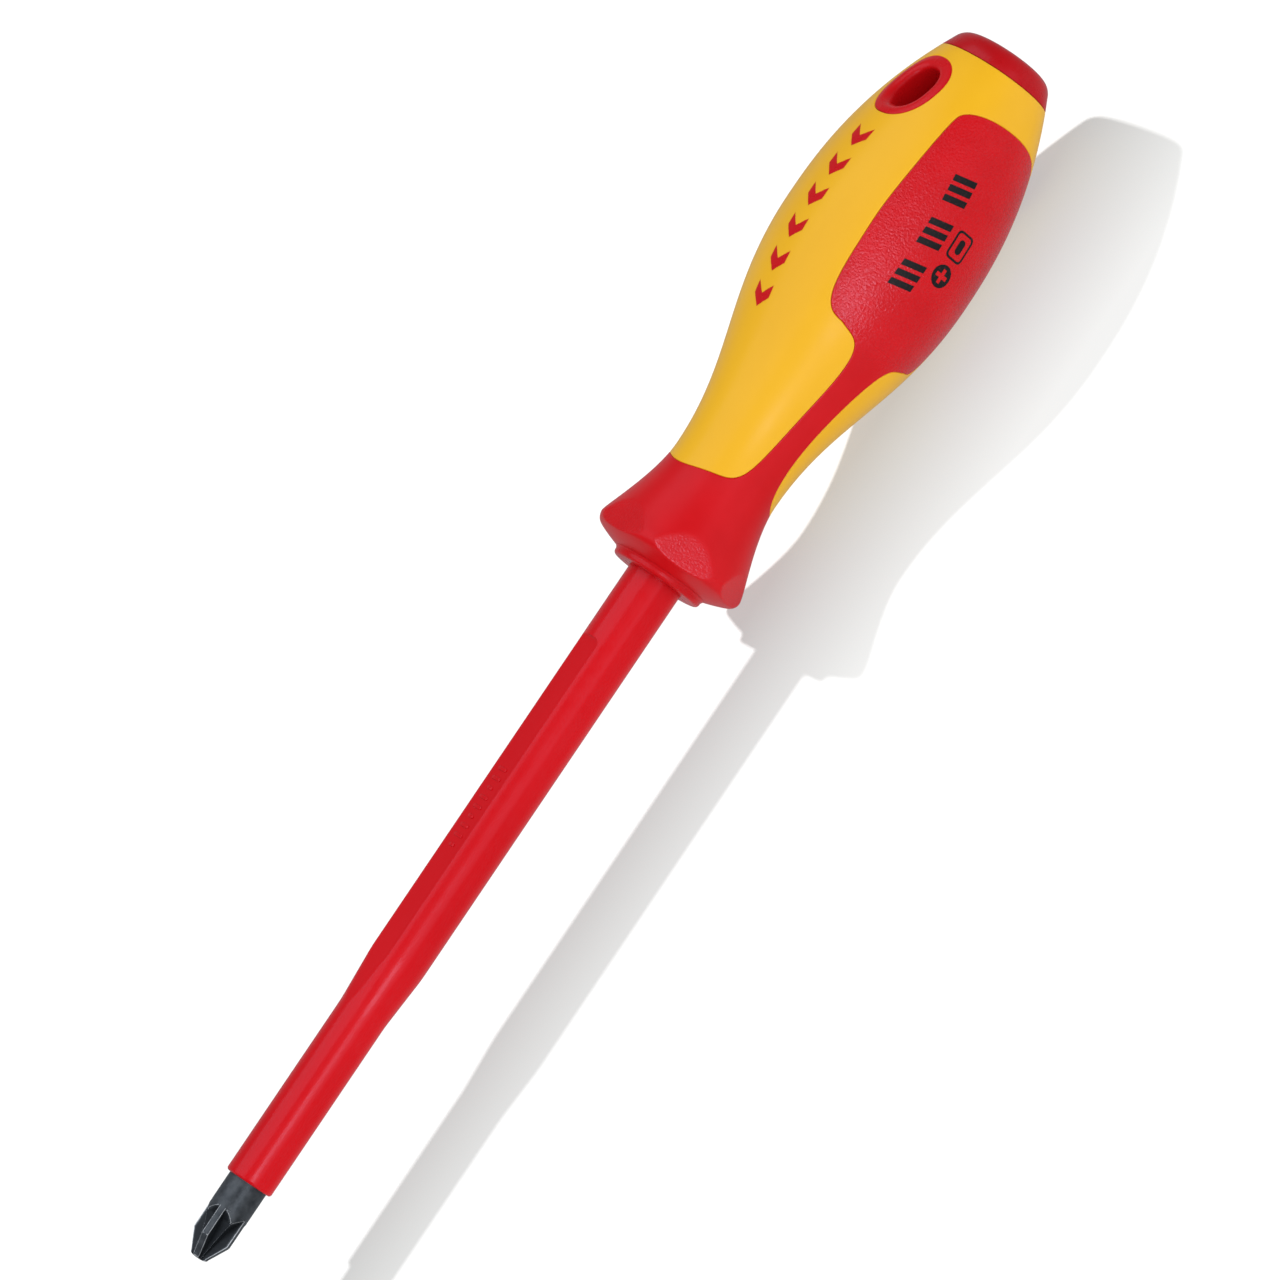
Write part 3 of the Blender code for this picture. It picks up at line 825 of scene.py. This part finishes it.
def make_collar():
    """A flange that runs softly into the guard behind it, with a spigot inside the handle."""
    back = GUARD_CURVES[0][0][0]
    profile = [(COLLAR_END, SPIGOT_RADIUS, 0), (back - 0.02, SPIGOT_RADIUS, 0.1),
               (back, FLANGE_RADIUS - 0.22, 0), (back + 0.15, FLANGE_RADIUS + 0.4, 0),
               (back - 0.38, FLANGE_RADIUS, 0.5), (COLLAR_START, FLANGE_RADIUS, 0.75),
               (COLLAR_START, COLLAR_BORE, 0.1), (COLLAR_END, COLLAR_BORE, 0)]
    make_piece("front_collar", *lathe(rounded(profile), ring=True), RED, "nose_collar",
               "red_plastic")


def make_sleeve():
    """The sleeve: slim in front, then a cone, then thicker with two flats that run out."""
    around = 144
    corners = [(SLEEVE_START, SLEEVE_BORE, 0), (SLEEVE_START, SLIM_RADIUS, 0.6),
               (CONE_START, SLIM_RADIUS, 40), (CONE_END, THICK_RADIUS, 40),
               (SLEEVE_END, THICK_RADIUS, 0)]
    outer = rounded(corners, 6)
    runout = FLAT_END - FLAT_RUNOUT
    extra = list(np.arange(20.0, 160.0, 4.0)) + list(np.linspace(runout, FLAT_END + 0.02, 16))
    xs, radii = np.array(outer[2:]).T
    outer += [(x, float(np.interp(x, xs, radii))) for x in extra]
    outer = outer[:2] + sorted(outer[2:])
    angles = np.linspace(0.0, math.tau, around, endpoint=False)
    rings = []
    for x, radius in outer:
        radii = np.full(around, radius)
        if CONE_START < x < FLAT_END:
            share = max(0.0, (x - runout) / FLAT_RUNOUT)
            step = (THICK_RADIUS - SLIM_RADIUS) * (1 - math.sqrt(1 - share ** 2))
            limit = (SLIM_RADIUS + step) / np.maximum(np.abs(np.cos(angles)), 0.05)
            radii = soft_min(radii, limit, 0.02)
        rings.append(circle(x, radii, angles))
    rings += [circle(x, SLEEVE_BORE, angles) for x in (SLEEVE_END, 110.0, 60.0, SLEEVE_START + 1.0)]
    make_piece("insulating_sleeve", *loft(rings, ring=True), SLEEVE_RED, "blade_sleeve",
               "sleeve_plastic", 40.0)


def tip_angles(radius, half_root):
    """Angles of one octant from the middle of a wing to halfway between two wings, each with
    its wear. There is a point at each corner of the cross-section and one close on each side."""
    near = TIP_WORN_LINE / radius
    wing_edge = math.asin(TIP_WING / 2 / radius)
    valley, ridge = TIP_VALLEY, TIP_RIDGE
    cut = half_root / radius < math.cos(wing_edge)
    if cut:
        valley = math.atan(TIP_WING / 2 / half_root)
        ridge = math.acos(half_root / radius)
    valley = max(valley, wing_edge + 2 * near)
    square = ridge > HALF_PI / 2
    ridge = min(max(ridge, valley + 2 * near), HALF_PI / 2 - 2 * near)
    stops = ((0.0, wing_edge - near, 3), (wing_edge - near, wing_edge, 1),
             (wing_edge, wing_edge + near, 1), (wing_edge + near, valley, 3),
             (valley, ridge - near, 3), (ridge - near, ridge, 1), (ridge, ridge + near, 1),
             (ridge + near, HALF_PI / 2, 2))
    angles, wear_and_shade = [], []
    for start, end, count in stops:
        angles += list(np.linspace(start, end, count, endpoint=False))
        worn = cut and (start == wing_edge or (start == ridge and not square))
        wear_and_shade += [1.0 if worn else 0.0] + [0.0] * (count - 1)
    return angles + [HALF_PI / 2], wear_and_shade + [0.6 if square and cut else 0.0]


def make_blade():
    """The whole bar: cross tip, round shank and the pressed wings of its hidden tang."""
    cone_x, cone_radius = np.array(TIP_CONE).T
    root_x, root_half = np.array(TIP_ROOT).T
    dome_x, dome_share = np.array(TIP_DOME).T
    stations = list(dome_x) + list(np.arange(2 * TIP_STEP, TIP_LENGTH, TIP_STEP))
    stations += [TIP_SHOULDER - 0.1, TIP_SHOULDER, TIP_SHOULDER + 0.1, 12.0, 14.0, 17.0, 60.0]
    for start, end in TANG_WINGS:
        stations += [start - 0.05, start, end, end + 0.05]
    stations += [BLADE_END - BLADE_CHAMFER, BLADE_END]
    rings, wear_and_shade = [], []
    for x in sorted(stations):
        section = max(x, dome_x[-1])
        share = float(np.interp(x, dome_x, dome_share))
        radius = float(np.interp(section, cone_x, cone_radius))
        half = float(np.interp(section, root_x, root_half))
        octant, corners = tip_angles(radius, half)
        quadrant = octant[:-1] + [HALF_PI - angle for angle in reversed(octant[1:])]
        marks = corners[:-1] + list(reversed(corners[1:]))
        ring = []
        for turn in range(4):
            for angle, corner in zip(quadrant, marks):
                cosine, sine = math.cos(angle), math.sin(angle)
                wide, narrow = max(cosine, sine), max(min(cosine, sine), 1e-6)
                reach = share * min(radius, max(half / wide, TIP_WING / 2 / narrow))
                around = angle + turn * HALF_PI + TIP_TURN
                if any(start <= x <= end for start, end in TANG_WINGS):
                    side = max(abs(math.sin(around)), 1e-6)
                    rise = max(abs(math.cos(around)), 1e-6)
                    reach = max(reach, min(TANG_WING_HALF[0] / side, TANG_WING_HALF[1] / rise))
                if x == BLADE_END:
                    reach -= BLADE_CHAMFER
                ring.append((x, -reach * math.sin(around), reach * math.cos(around)))
                on_land = min(angle, HALF_PI - angle) <= octant[4]
                if on_land and x in (TIP_SHOULDER, dome_x[2]):
                    corner = 1.0
                # Points sunk into the flutes get -1, which paints shade on them.
                if not corner and reach < 0.97 * share * radius:
                    corner = -1.0
                wear_and_shade.append(corner if x < TIP_LENGTH - TIP_STEP else 0.0)
        rings.append(ring)
    verts, faces = loft(rings)
    places = KDTree(len(wear_and_shade))
    for index, place in enumerate(verts[:len(wear_and_shade)]):
        places.insert(place, index)
    places.balance()
    piece = make_piece("steel_bar", verts, faces, STEEL, "blade", "blade_steel", 24.0)
    layer = piece.data.attributes.new("wear_and_shade", "FLOAT", "POINT")
    for vertex, value in zip(piece.data.vertices, layer.data):
        value.value = wear_and_shade[places.find(vertex.co / MM)[1]]


# ---- prints and relief ---------------------------------------------------------------------

def box_outline(x, across, length, width, corner):
    """A rounded rectangle, anticlockwise, round one middle point."""
    half_length, half_width = length / 2, width / 2
    corners = [(x, across - half_width, 0), (x + half_length, across - half_width, corner),
               (x + half_length, across + half_width, corner),
               (x - half_length, across + half_width, corner),
               (x - half_length, across - half_width, corner), (x, across - half_width, 0)]
    return np.array(rounded(corners))


def printed(name, shapes):
    """Ink on the panel, as one thin closed plate for each outline with its holes."""
    plates = []
    for outline, *holes in shapes:
        loops = [[(True, split(on_panel(outline)[::-1], 0.3))]]
        loops += [[(True, split(on_panel(hole), 0.3))] for hole in holes]
        plates.append(patch(loops, edge=0.02, gap=0.0, inner=0.03, depth=0.25, lift=0.025))
    make_piece(name, *joined(*plates), INK, slot="soft_red")


def make_prints():
    """Generic marks: three blocks of slashes, a cross-recess sign and a badge."""
    slashes = []
    low, high, lean, stroke = -8.4, -3.6, 1.1, 1.32
    for block in (222.75, 232.0, 241.25):
        for x in (block - 2.1, block, block + 2.1):
            slashes.append((np.array([(x - stroke / 2 - lean / 2, low), (x + stroke / 2 - lean / 2, low),
                                      (x + stroke / 2 + lean / 2, high),
                                      (x - stroke / 2 + lean / 2, high),
                                      (x - stroke / 2 - lean / 2, low)]),))
    printed("size_print", slashes)
    x, across, arm, bar = 226.5, 0.1, 1.45, 0.42
    cross = [(x + a, across + b) for a, b in (
        (-bar, -arm), (bar, -arm), (bar, -bar), (arm, -bar), (arm, bar), (bar, bar), (bar, arm),
        (-bar, arm), (-bar, bar), (-arm, bar), (-arm, -bar), (-bar, -bar), (-bar, -arm))]
    disc = box_outline(x, across, 4.6, 4.6, 2.29)
    frame_outline = box_outline(232.9, across, 5.8, 4.4, 1.0)
    frame_hole = box_outline(232.9, across, 4.9, 3.5, 0.7)
    bar_outline = box_outline(232.9, across, 3.0, 1.5, 0.7)
    printed("care_print", [(disc, np.array(cross)), (frame_outline, frame_hole), (bar_outline,)])


def make_relief():
    """Faint raised bars on the sleeve's upper flat."""
    meshes = []
    for index in range(9):
        x = 89.4 + 2.1 * index
        length = 2.5 if index % 3 else 1.5
        outline = box_outline(x, 0.0, 0.75, length, 0.3)[:-1]
        levels = ((1.0, SLIM_RADIUS - 0.3), (1.0, SLIM_RADIUS + 0.13), (0.8, SLIM_RADIUS + 0.2))
        middle = np.array([x, 0.0])
        rings = [np.column_stack([(outline - middle) * share + middle, np.full(len(outline), z)])
                 for share, z in levels]
        meshes.append(loft(rings))
    make_piece("sleeve_relief", *joined(*meshes), SLEEVE_RED, slot="sleeve_plastic")


# ---- the studio ----------------------------------------------------------------------------

CAMERA_TURN = math.radians(51)
CAMERA_LEAN = math.radians(4.8)
CAMERA_ROLL = math.radians(56)
CAMERA_AIM = 140.6
CAMERA_DROP = 3.9
CAMERA_DISTANCE = 1470.0
CAMERA_LENS = 222.4
WORLD_FILL = 0.31
COOL = (0.90, 0.94, 1.0)


def around_tool(turn):
    """Direction at right angles to the tool, turned from +Z towards -Y."""
    return Vector((0.0, -math.sin(turn), math.cos(turn)))


def make_camera():
    """A long lens, leaning towards the tip, rolled so that the tool runs corner to corner."""
    outward = around_tool(CAMERA_TURN)
    down = around_tool(CAMERA_TURN + HALF_PI)
    along = Vector((1.0, 0.0, 0.0))
    back = math.cos(CAMERA_LEAN) * outward - math.sin(CAMERA_LEAN) * along
    ahead = math.cos(CAMERA_LEAN) * along + math.sin(CAMERA_LEAN) * outward
    right = math.cos(CAMERA_ROLL) * ahead + math.sin(CAMERA_ROLL) * down
    up = math.sin(CAMERA_ROLL) * ahead - math.cos(CAMERA_ROLL) * down
    aim = CAMERA_AIM * along + CAMERA_DROP * down
    data = bpy.data.cameras.new("camera")
    data.lens = CAMERA_LENS
    data.sensor_width = 36.0
    data.clip_start = 0.05
    camera = bpy.data.objects.new("camera", data)
    bpy.context.scene.collection.objects.link(camera)
    camera.matrix_world = Matrix.Translation((aim + CAMERA_DISTANCE * back) * MM) @ Matrix(
        (right, up, back)).transposed().to_4x4()
    bpy.context.scene.camera = camera


def make_light(name, turn, distance, length, width, power, middle=150.0, glossy=True,
               diffuse=True, lit=None, tint=(1.0, 1.0, 1.0)):
    """A softbox beside the tool, facing it, with its length along the tool. It lights what is
    in one collection only, where one is given."""
    data = bpy.data.lights.new(name, "AREA")
    data.shape = "RECTANGLE"
    data.size = length * MM
    data.size_y = width * MM
    data.energy = power
    data.color = tint
    lamp = bpy.data.objects.new(name, data)
    bpy.context.scene.collection.objects.link(lamp)
    back = around_tool(turn)
    along = Vector((1.0, 0.0, 0.0))
    place = Matrix((along, back.cross(along), back)).transposed().to_4x4()
    lamp.matrix_world = Matrix.Translation((distance * back + middle * along) * MM) @ place
    lamp.visible_glossy = glossy
    lamp.visible_diffuse = diffuse
    lamp.visible_camera = False
    if lit:
        lamp.light_linking.receiver_collection = lit


def make_world():
    """White to the camera, soft grey fill, and dark in reflections on the camera's side."""
    world = bpy.data.worlds.new("studio")
    world.use_nodes = True
    world.cycles.sampling_method = "NONE"
    bpy.context.scene.world = world
    nodes, links = world.node_tree.nodes, world.node_tree.links
    place = nodes.new("ShaderNodeTexCoord").outputs["Generated"]
    toward = nodes.new("ShaderNodeVectorMath")
    toward.operation = "DOT_PRODUCT"
    toward.inputs[1].default_value = around_tool(CAMERA_TURN)
    links.new(place, toward.inputs[0])
    shade = nodes.new("ShaderNodeMapRange")
    for name, number in (("From Min", -0.6), ("From Max", 0.5), ("To Min", 0.4), ("To Max", 0.02)):
        shade.inputs[name].default_value = number
    links.new(toward.outputs["Value"], shade.inputs["Value"])
    path = nodes.new("ShaderNodeLightPath")
    glossy = nodes.new("ShaderNodeMix")
    links.new(path.outputs["Is Glossy Ray"], glossy.inputs["Factor"])
    glossy.inputs["A"].default_value = WORLD_FILL
    links.new(shade.outputs["Result"], glossy.inputs["B"])
    pick = nodes.new("ShaderNodeMix")
    links.new(path.outputs["Is Camera Ray"], pick.inputs["Factor"])
    links.new(glossy.outputs["Result"], pick.inputs["A"])
    pick.inputs["B"].default_value = 1.3
    links.new(pick.outputs["Result"], nodes["Background"].inputs["Strength"])
    nodes["Background"].inputs["Color"].default_value = (0.90, 0.94, 1.0, 1.0)


def make_floor():
    """A plane that the tool's lowest point rests on."""
    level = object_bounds()[0][2]
    bpy.ops.mesh.primitive_plane_add(size=6.0, location=(0.135, 0.0, level))
    floor = bpy.context.object
    floor.name = "floor"
    floor.data.materials.append(pale_floor("white_floor"))
    floor.visible_glossy = False
    floor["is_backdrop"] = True
    return floor


def make_lights(floor):
    """Softboxes for the tool, and a light for the floor alone that draws the tool's shadow."""
    ground = bpy.data.collections.new("lit_floor")
    ground.objects.link(floor)
    tool = bpy.data.collections.new("lit_tool")
    for thing in bpy.context.scene.objects:
        if thing.type == "MESH" and thing != floor:
            tool.objects.link(thing)
    grip = bpy.data.collections.new("lit_grip")
    grip.objects.link(bpy.data.objects["soft_handle"])
    make_light("overhead_softbox", math.radians(-5), 650, 1300, 690, 3.7, lit=tool, tint=COOL)
    make_light("front_strip", math.radians(78), 650, 1300, 200, 0.75, lit=tool, tint=COOL)
    make_light("camera_fill", math.radians(48), 900, 1200, 700, 3.1, glossy=False, lit=tool)
    make_light("tool_sheen", math.radians(61), 900, 240, 260, 1.1, middle=-50.0, diffuse=False,
               lit=tool, tint=COOL)
    make_light("grip_sheen", math.radians(55), 900, 400, 300, 4.6, middle=-150.0, diffuse=False,
               lit=grip, tint=COOL)
    make_light("shadow_light", math.radians(-45), 1500, 60, 60, 66.0, glossy=False, lit=ground)


make_camera()
make_shell_and_grip()
make_arrows()
make_eye()
make_cap()
make_collar()
make_sleeve()
make_blade()
make_prints()
make_relief()
frame["nodes"]["handle_core"].data.materials.clear()
frame["nodes"]["handle_core"].data.materials.append(RED)

make_lights(make_floor())
make_world()
bpy.context.scene.view_settings.view_transform = "Standard"
